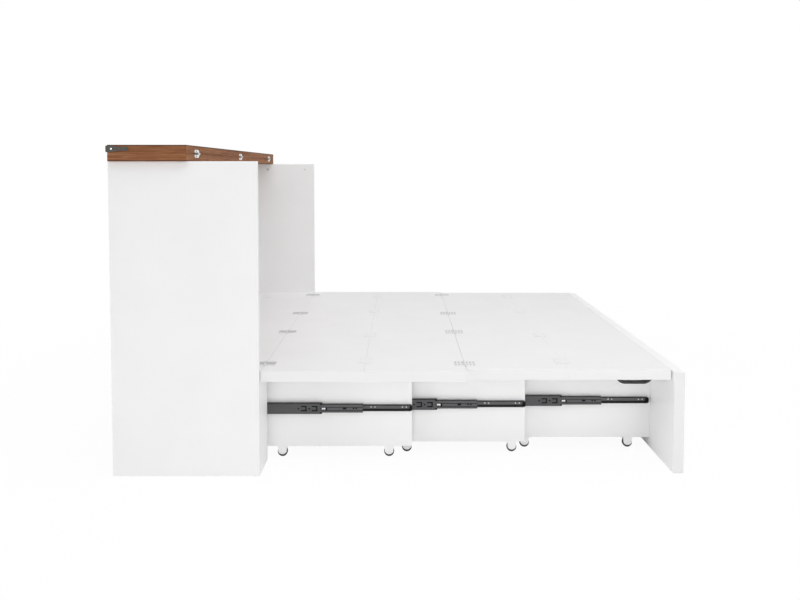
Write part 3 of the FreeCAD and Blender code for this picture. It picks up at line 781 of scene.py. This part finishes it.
def lid_hinge_half(shape, y, moving):
    """A plate let into a board's edge, with its knuckles and two screws."""
    face_x = lid_high.x
    axis_x, axis_z = face_x + LID_AXIS_OFF, lid_low.z - LID_AXIS_OFF
    up = 1 if moving else -1

    def seated(outline):
        return [at(face_x - LID_HINGE_PLATE, a, axis_z + up * b) for a, b in outline]

    plate = [(y + a, b) for a, b in lid_hinge_outline()]
    prism(shape, seated(plate), Vector(((LID_HINGE_PLATE - LID_HINGE_SUNK) * MM, 0, 0)))
    for y0, y1 in knuckles(y, LID_HINGE_LENGTH, moving):
        # Painted shade: the near and middle knuckles, with their tongues, take the dark copy, and the far one
        # stays nickel.
        look = NICKEL if y0 > y else NICKEL_SHADED
        tongue = flat_outline(y0, y1, 0.0, LID_RISE + LID_TONGUE_LAP)
        prism(shape, seated(tongue), Vector((LID_HINGE_PLATE * MM * LID_TONGUE_SHARE, 0, 0)), look)
        knuckle(shape, axis_x, y0, y1, axis_z, LID_BARREL, look)
    for along, radius, look in LID_SCREWS:
        place = at(face_x - LID_HINGE_SUNK, y + along, axis_z + up * LID_SCREW_RISE)
        screw(shape, place, (1, 0, 0), radius, look)


lid_hinge_y = span("lid_hinge_bodies")[1].y - LID_HINGE_LENGTH / 2
for moving, name, body, stands_for in (
    (False, "lid_hinge_lower_plates", "cabinet", "lid_hinge_bodies"),
    (True, "lid_hinge_upper_plates", "lid", "lid_hinge_flaps"),
):
    plates = bmesh.new()
    for y in (-lid_hinge_y, 0.0, lid_hinge_y):
        lid_hinge_half(plates, y, moving)
    piece(name, plates, ["lid_hinge", "knuckle", "screw"], body, [stands_for])


# Butt hinges of the platform

HINGE_LENGTH, HINGE_REACH, HINGE_THICK = 64.0, 40.0, 2.0
HINGE_RADIUS, HINGE_AXIS, HINGE_CLEAR = 3.2, 3.5, 3.8
HINGE_INNER_Y = 195.0
LEAF_CORNERS = (0.8, 13.0, 13.0, 0.8)
TONGUE_LAP, TONGUE_INSET = 0.5, 0.1
HINGE_SCREWS, HINGE_ROWS, HINGE_SCREW_RADIUS = (8.5, 21.5, 34.5), (-12.0, 12.0), 3.8
# A grey bar along each deck hinge leaf, with its screws and moving knuckle in the same grey: painted shade.
SHADE_BAR_HALF, SHADE_BAR_NEAR, SHADE_BAR_FAR = 16.0, 1.0, 1.5
SHADE_BAR_CORNERS, SHADE_BAR_SUNK, SHADE_BAR_THICK = (1.0, 5.0, 5.0, 1.0), 0.5, 0.6
PLAIN, SCREWED, PAINTED_SHADE = 0, 1, 2
deck_top = span("deck_front_board")[1].z


def butt_leaf(shape, axis_x, y, side, moving, with_shade_bar):
    """One leaf of a butt hinge: a plate with round outer corners, knuckles and rows of three screws."""
    half = HINGE_LENGTH / 2

    def flat(outline, bottom, thick, look=PLAIN):
        points = [at(axis_x + side * a, b, bottom) for a, b in outline]
        prism(shape, points, Vector((0, 0, thick * MM)), look)

    flat(flat_outline(HINGE_CLEAR, HINGE_REACH, y - half, y + half, LEAF_CORNERS), deck_top, HINGE_THICK)
    for y0, y1 in knuckles(y, HINGE_LENGTH, moving):
        tongue = flat_outline(0.0, HINGE_CLEAR + TONGUE_LAP, y0, y1)
        flat(tongue, deck_top + TONGUE_INSET, HINGE_THICK - 2 * TONGUE_INSET)
        look = PAINTED_SHADE if with_shade_bar and moving else PLAIN
        knuckle(shape, axis_x, y0, y1, deck_top + HINGE_AXIS, HINGE_RADIUS, look)
    # Painted shade: a grey bar sunk into the leaf.
    if with_shade_bar:
        near, far = HINGE_CLEAR + SHADE_BAR_NEAR, HINGE_REACH - SHADE_BAR_FAR
        shade_bar = flat_outline(near, far, y - SHADE_BAR_HALF, y + SHADE_BAR_HALF, SHADE_BAR_CORNERS)
        flat(shade_bar, deck_top + HINGE_THICK - SHADE_BAR_SUNK, SHADE_BAR_THICK, PAINTED_SHADE)
    for reach in HINGE_SCREWS:
        for row in (0.0,) if with_shade_bar else HINGE_ROWS:
            place = at(axis_x + side * reach, y + row, deck_top + HINGE_THICK)
            screw(shape, place, (0, 0, 1), HINGE_SCREW_RADIUS, PAINTED_SHADE if with_shade_bar else SCREWED)


def butt_leaves(name, node, body, axis_x, side, moving, with_shade_bar=False):
    """The leaves on one side (-1 or 1) of a fold, four in a row."""
    outer = span(node)[1].y - HINGE_LENGTH / 2
    leaves = bmesh.new()
    for y in (-outer, -HINGE_INNER_Y, HINGE_INNER_Y, outer):
        butt_leaf(leaves, axis_x, y, side, moving, with_shade_bar)
    piece(name, leaves, ["butt_hinge", "hinge_screw", "hinge_painted_shade"], body, [node])


deck_fold_x = span("deck_hinge_fixed_leaves")[1].x - HINGE_RADIUS
middle_fold_x = span("fold_hinge_inner_leaves")[1].x - HINGE_RADIUS
for row in (
    ("deck_hinge_cabinet_leaves", "deck_hinge_fixed_leaves", "cabinet", deck_fold_x, -1, False, True),
    ("deck_hinge_platform_leaves", "deck_hinge_moving_leaves", "inner_platform", deck_fold_x, 1, True, True),
    ("fold_hinge_near_leaves", "fold_hinge_inner_leaves", "inner_platform", middle_fold_x, -1, False),
    ("fold_hinge_far_leaves", "fold_hinge_outer_leaves", "outer_platform", middle_fold_x, 1, True),
):
    butt_leaves(*row)


# A painted shadow strip in the inner seam, and screws of the joining plates

SEAM_HALF, SEAM_DROP, SEAM_THICK, SEAM_INSET, SEAM_ROUND = 0.8, 0.25, 0.6, 2.0, 0.5
PLATE_SCREW_X, PLATE_SCREW_Y, PLATE_SCREW_RADIUS = 19.0, 23.0, 3.2
DECK_PLATES, SEAM_PLATES = (-640.0, 640.0), (-655.0, -250.0, 250.0, 655.0)

board_low, board_high = span("platform_board_1")
# A dark grey strip sunk in the joint between the first two platform boards: a painted shadow.
seam_shadow = bmesh.new()
strip = flat_outline(
    board_high.x - SEAM_HALF, board_high.x + SEAM_HALF, board_low.y + SEAM_INSET, board_high.y - SEAM_INSET,
    SEAM_ROUND, 3,
)
seam_foot = board_high.z - SEAM_DROP - SEAM_THICK
prism(seam_shadow, [at(x, y, seam_foot) for x, y in strip], Vector((0, 0, SEAM_THICK * MM)))
piece("inner_seam_painted_shadow", seam_shadow, ["seam"], "inner_platform")


def plate_screws(name, node, body, places):
    """Four screws in each joining plate."""
    low, high = span(node)
    middle_x = (low.x + high.x) / 2
    heads = bmesh.new()
    for y in places:
        for dx in (-PLATE_SCREW_X, PLATE_SCREW_X):
            for dy in (-PLATE_SCREW_Y, PLATE_SCREW_Y):
                place = at(middle_x + dx, y + dy, high.z - HEAD_SUNK)
                screw(heads, place, (0, 0, 1), PLATE_SCREW_RADIUS)
    piece(name, heads, ["plate_screw"], body)


plate_screws("deck_plate_screws", "deck_joining_plates", "cabinet", DECK_PLATES)
plate_screws("inner_plate_screws", "inner_joining_plates", "inner_platform", SEAM_PLATES)
plate_screws("outer_plate_screws", "outer_joining_plates", "outer_platform", SEAM_PLATES)


# Lift handles

HANDLE_BAR, HANDLE_FOOT, HANDLE_WIDTH, HANDLE_ROUND = 7.0, 11.0, 30.0, 3.0
GRIP_SHARE, TAPER_TURN = 0.49, 1.3
HANDLE_STEPS, GRIP_STEPS = 14, 8


def handle_path(low, high):
    """The middle line of the bow from foot to foot, with the bar's thickness."""
    middle = (low.x + high.x) / 2
    half = (high.x - low.x) / 2
    grip = half * GRIP_SHARE
    drop = high.z - low.z - HANDLE_BAR / 2
    run = half - HANDLE_FOOT / 2 - grip
    path = []
    for i in range(HANDLE_STEPS + 1):
        angle = math.pi / 2 * i / HANDLE_STEPS
        x = middle - grip - run * math.cos(angle)
        z = high.z - drop * math.sin(angle)
        taper = ramp(angle, 0, TAPER_TURN)
        path.append((x, z, HANDLE_FOOT + (HANDLE_BAR - HANDLE_FOOT) * taper))
    for i in range(1, GRIP_STEPS):
        path.append((middle - grip + grip * i / GRIP_STEPS, high.z - drop, HANDLE_BAR))
    mirrored_half = [(2 * middle - x, z, thick) for x, z, thick in reversed(path)]
    return path + [(middle, high.z - drop, HANDLE_BAR)] + mirrored_half


def handle_rings(low, high):
    """Rounded sections of the bar, square to its middle line."""
    path = handle_path(low, high)
    middle_y = (low.y + high.y) / 2
    half_width = (high.y - low.y) / 2
    rings = []
    for i, (x, z, thick) in enumerate(path):
        before, after = path[max(i - 1, 0)], path[min(i + 1, len(path) - 1)]
        way = Vector((after[0] - before[0], after[1] - before[1])).normalized()
        if i in (0, len(path) - 1):
            way = Vector((0, -1 if i == 0 else 1))
        normal = Vector((-way.y, way.x))
        section = flat_outline(-half_width, half_width, -thick / 2, thick / 2, HANDLE_ROUND, 4)
        rings.append([at(x + normal.x * b, middle_y + a, z + normal.y * b) for a, b in section])
    return rings


handle_low, handle_high = span("lift_handles")
handles = bmesh.new()
near_high = Vector((handle_high.x, handle_low.y + HANDLE_WIDTH, handle_high.z))
joined(handles, handle_rings(handle_low, near_high))
mirror(handles)
piece("bowed_lift_handles", handles, ["handle"], "outer_platform", ["lift_handles"], BENT_ANGLE)


# Small parts of the telescopic slides

CARRIERS = {"a": "partition_left", "b": "box_a_side_left", "c": "box_b_side_left"}
WIDE_WEB, MIDDLE_WEB, RUNNER_WEB = 2.0, 4.0, 18.5
# Flat parts: from and to along the rail, from and to in height, corner radius, place off the web, thickness
LEVER_PARTS = (
    (0.5, 7.0, -3.4, 3.4, 2.4, 1.7, 1.5), (7.6, 14.6, -3.4, 3.4, 2.4, 1.7, 1.5),
    (4.0, 11.0, -1.8, 1.8, 1.6, 1.7, 1.1),
)
STOP = (15.2, 21.5, -7.0, 3.0, 1.0, 1.8, 1.3)
CAGE_END = (-16.0, 2.4, MIDDLE_HALF + 0.4, WIDE_HALF - 1.8, 0, 2.2, -9.0)
CORNER_CLIP = (-6.5, 0.4, WIDE_HALF - 6.5, WIDE_HALF - 0.4, 0, 0.6, 0.9)
NOTCH = (-5.0, 0.3, -2.2, 2.2, 1.0, 0.6, 0.8)
# Dark sheets behind the tab slots of the wide rail and the slots of the middle rail: painted shade.
TAB_SHADE_SHEETS = [(x0, x1, -11.5, 11.5, 2.0, 1.85, 0.3) for x0, x1 in ((-51.5, -14.5), (-93.5, -56.5))]
MIDDLE_SHADE_SHEETS = [(x0, x1, -5.0, 5.0, 2.0, 1.85, 0.3) for x0, x1 in ((-80.0, -62.0), (-42.0, -20.0))]
PLUG_NEAR, PLUG_FAR, PLUG_CLEAR, PLUG_ROUND, PLUG_BACK, PLUG_LENGTH = 7.0, 18.2, 1.9, 2.0, 6.0, 9.5
RUNNER_SCREWS, RUNNER_SCREW_OFF, RUNNER_SCREW_RADIUS = (27.0, 149.0), 7.5, 2.8
SMALL_EASE, PLUG_EASE = 0.3, 0.5


def rail_part(shape, row, front, web_y, up=1):
    """A small flat part at a rail's web, or its twin below the slide's middle where up is -1."""
    x0, x1, z0, z1, radius, off, thick = row
    outline = flat_outline(front + x0, front + x1, z0, z1, radius)
    points = [at(x, web_y + off, SLIDE_Z + up * z) for x, z in outline]
    prism(shape, points, Vector((0, -thick * MM, 0)))


def front_stops(shape, front, web_y):
    """A dark stop ahead of the lever, and the dark ends of the ball cages at the rail's front corners."""
    rail_part(shape, STOP, front, web_y)
    for up in (-1, 1):
        rail_part(shape, CAGE_END, front, web_y, up)
        rail_part(shape, CORNER_CLIP, front, web_y, up)
    rail_part(shape, NOTCH, front, web_y)


def end_plug(shape, front, face_y):
    """The dark plug in a runner's front end."""
    half = RUNNER_HALF - PLUG_CLEAR
    plug = flat_outline(face_y + PLUG_NEAR, face_y + PLUG_FAR, SLIDE_Z - half, SLIDE_Z + half, PLUG_ROUND)
    prism(shape, [at(front - PLUG_BACK, y, z) for y, z in plug], Vector((PLUG_LENGTH * MM, 0, 0)))


def runner_screws(shape, front, face_y):
    """Two pairs of bright screws that hold a runner to its box."""
    for back in RUNNER_SCREWS:
        for off in (-RUNNER_SCREW_OFF, RUNNER_SCREW_OFF):
            place = at(front - back + off, face_y + RUNNER_WEB + HEAD_SUNK, SLIDE_Z)
            screw(shape, place, (0, -1, 0), RUNNER_SCREW_RADIUS)


for slide, carrier in CARRIERS.items():
    face_y = span(carrier)[1].y
    web_y = face_y + WIDE_WEB
    wide_front, middle_front, runner_front = (
        span("slide_%s_%s" % (slide, rails))[1].x for rails in ("wide_rails", "middle_rails", "runners")
    )
    levers, stops, shade_sheets, plugs, heads = (bmesh.new() for _ in range(5))
    for row in LEVER_PARTS:
        rail_part(levers, row, wide_front, web_y)
    front_stops(stops, wide_front, web_y)
    for shape in (levers, stops):
        soften(shape, SMALL_EASE)
    # The sheets behind the tab slots ride with the stops: painted shade.
    for row in TAB_SHADE_SHEETS:
        rail_part(stops, row, wide_front, web_y)
    for row in MIDDLE_SHADE_SHEETS:
        rail_part(shade_sheets, row, middle_front, face_y + MIDDLE_WEB)
    end_plug(plugs, runner_front, face_y)
    soften(plugs, PLUG_EASE)
    runner_screws(heads, runner_front, face_y)
    for part, shape, look, body in (
        ("middle_shade_sheets", shade_sheets, "bumper", "slide_%s_middle"), ("levers", levers, "lever", "slide_%s_wide"),
        ("stops", stops, "bumper", "slide_%s_wide"), ("end_plugs", plugs, "bumper", "box_%s"),
        ("runner_screws", heads, "rivet", "box_%s"),
    ):
        mirror(shape)
        piece("slide_%s_%s" % (slide, part), shape, [look], body % slide)


# Caster wheels

WHEEL_RADIUS, WHEEL_WIDTH = 19.5, 14.0
TYRE_STEPS, HUB_STEPS = 48, 32
# Profiles: radius, and height along the axle. Tyre and hub are halves, the same from both faces of a wheel
TYRE = ((13.4, 0.0), (16.6, 0.0), (18.2, 0.5), (19.1, 1.7), (19.5, 3.6), (19.5, 6.2), (19.15, 6.6))
HUB = ((3.1, 0.6), (5.4, 0.6), (5.8, 0.9), (6.0, 2.4), (11.2, 2.4), (11.6, 0.8), (13.5, 0.6))
AXLE_CAP = ((5.2, -0.4), (5.2, 0.3), (4.6, 0.55), (3.4, 0.6), (3.2, 0.95), (2.2, 1.15), (0, 1.2))

for box in "abc":
    side_low, side_high = span("box_%s_side_left" % box)
    middle_y = (side_low.y + side_high.y) / 2
    outer = span("box_%s_caster_forks" % box)[0].y
    caps = bmesh.new()
    for end in ("front", "rear"):
        node = "box_%s_%s_wheels" % (box, end)
        low, high = span(node)
        x = (low.x + high.x) / 2
        wheels = bmesh.new()
        foot = at(x, middle_y - WHEEL_WIDTH / 2, WHEEL_RADIUS)
        for look, (half, steps) in enumerate(((TYRE, TYRE_STEPS), (HUB, HUB_STEPS))):
            far_half = tuple((radius, WHEEL_WIDTH - height) for radius, height in reversed(half))
            turned(wheels, half + far_half, foot, (0, 1, 0), steps, look)
        mirror(wheels)
        piece("box_%s_%s_tyres" % (box, end), wheels, ["tyre", "caster"], node, [node])
        turned(caps, AXLE_CAP, at(x, outer, WHEEL_RADIUS), (0, -1, 0))
        turned(caps, AXLE_CAP, at(x, 2 * middle_y - outer, WHEEL_RADIUS), (0, 1, 0))
    mirror(caps)
    piece("box_%s_axle_caps" % box, caps, ["caster"], "box_%s" % box)


# Screws that hold the back panel

BACK_ROW, BACK_COLUMN, BACK_SCREW_RADIUS = 9, 5, 3.5
BACK_END, BACK_FOOT, BACK_HEAD, BACK_SIDE = 12.0, 19.0, 12.0, 9.0


def evenly(start, stop, count):
    """Places at even steps from start to stop."""
    return [start + (stop - start) * i / (count - 1) for i in range(count)]


low, high = span("back_panel")
rows = evenly(low.y + BACK_END, high.y - BACK_END, BACK_ROW)
column = evenly(low.z, high.z, BACK_COLUMN)[1:-1]
places = [(y, z) for y in rows for z in (low.z + BACK_FOOT, high.z - BACK_HEAD)]
places += [(y, z) for z in column for y in (low.y + BACK_SIDE, high.y - BACK_SIDE)]
back_screws = bmesh.new()
for y, z in places:
    screw(back_screws, at(low.x + HEAD_SUNK, y, z), (-1, 0, 0), BACK_SCREW_RADIUS)
piece("back_panel_screws", back_screws, ["screw"], "cabinet")


# Floor, light and camera

# Lengths from here on are in metres
FLOOR_SIZE, FLOOR_DROP = 30.0, 0.0005
SHADOW_NEAR, SHADOW_FAR, FLOOR_GLOW = 1.3, 3.2, 0.95
WHITE, ROOM_LIGHT = (1, 1, 1, 1), 0.43
# Lamps: name, place, aim, size, power and whether they show in reflections
LAMPS = (
    ("front_lamp", (0.0, -4.0, 1.0), (0.0, 0.0, 0.4), (4.0, 2.0), 2, True),
    ("cabinet_lamp", (2.2, -3.8, 2.0), (-0.7, 0.3, 0.7), (2.8, 1.8), 36, True),
    ("floor_strip", (0.2, -2.4, 0.2), (0.2, -0.6, 0.2), (3.2, 0.3), 2.4, True),
    ("left_lamp", (-4.6, -2.2, 0.6), (0.9, -0.4, 0.25), (2.2, 1.2), 40, False),
    ("top_lamp", (0.4, -1.0, 4.6), (0.2, 0.0, 0.0), (4.5, 4.5), 105, True),
)


def background_rays(tree):
    """1 where the camera, a reflection or glass looks at the background, and 0 for light on its way."""
    rays = add(tree, "ShaderNodeLightPath").outputs
    seen = maths(tree, "MAXIMUM", rays["Is Camera Ray"], rays["Is Glossy Ray"])
    return maths(tree, "MAXIMUM", seen, rays["Is Transmission Ray"])


def pale_floor():
    """A white floor that keeps a soft shadow round the bed and fades to plain white further out."""
    mesh = bpy.data.meshes.new("pale_floor")
    corners = [(x * FLOOR_SIZE, y * FLOOR_SIZE, 0) for x, y in ((-1, -1), (1, -1), (1, 1), (-1, 1))]
    mesh.from_pydata(corners, [], [(0, 1, 2, 3)])
    floor = bpy.data.objects.new("pale_floor", mesh)
    floor.location.z = -FLOOR_DROP
    scene.collection.objects.link(floor)
    made, tree, shader = new_finish("pale_floor", Base_Color=WHITE, Roughness=0.9, Specular_IOR_Level=0.0)
    glow = add(tree, "ShaderNodeEmission", {"Color": WHITE, "Strength": 1.0})
    away = add(tree, "ShaderNodeVectorMath", {0: place_on(tree)}, operation="LENGTH").outputs["Value"]
    plain = spread(tree, away, SHADOW_NEAR, SHADOW_FAR, FLOOR_GLOW, 1.0)
    share = maths(tree, "MULTIPLY", background_rays(tree), plain)
    mixed = add(tree, "ShaderNodeMixShader", {0: share, 1: shader.outputs[0], 2: glow.outputs[0]})
    tree.links.new(mixed.outputs[0], tree.nodes["Material Output"].inputs["Surface"])
    mesh.materials.append(made)


def white_room():
    """Even white light all round. The camera sees it as white."""
    world = bpy.data.worlds.new("white_room")
    world.use_nodes = True
    scene.world = world
    tree = world.node_tree
    ground = tree.nodes["Background"]
    ground.inputs["Color"].default_value = WHITE
    strength = spread(tree, background_rays(tree), 0, 1, ROOM_LIGHT, 1.0)
    tree.links.new(strength, ground.inputs["Strength"])


def soft_lamp(name, place, aim, size, power, glare):
    """A rectangle of light that the camera doesn't see."""
    data = bpy.data.lights.new(name, "AREA")
    data.shape = "RECTANGLE"
    data.size, data.size_y = size
    data.energy = power
    lamp = bpy.data.objects.new(name, data)
    lamp.location = place
    lamp.rotation_euler = (Vector(aim) - Vector(place)).to_track_quat("-Z", "Y").to_euler()
    lamp.visible_camera = False
    lamp.visible_glossy = glare
    scene.collection.objects.link(lamp)


def photo_camera():
    """Looks straight across the bed, from just under the height of the flip top."""
    data = bpy.data.cameras.new("photo_camera")
    data.sensor_width = 36.0
    data.lens = 30.02
    data.shift_y = -0.1298
    camera = bpy.data.objects.new("photo_camera", data)
    camera.location = (0.0027, -3.2055, 1.1286)
    camera.rotation_euler = (math.pi / 2 - 0.0413, 0, 0)
    scene.collection.objects.link(camera)
    scene.camera = camera


pale_floor()
white_room()
for lamp in LAMPS:
    soft_lamp(*lamp)
photo_camera()
scene.view_settings.view_transform = "Standard"
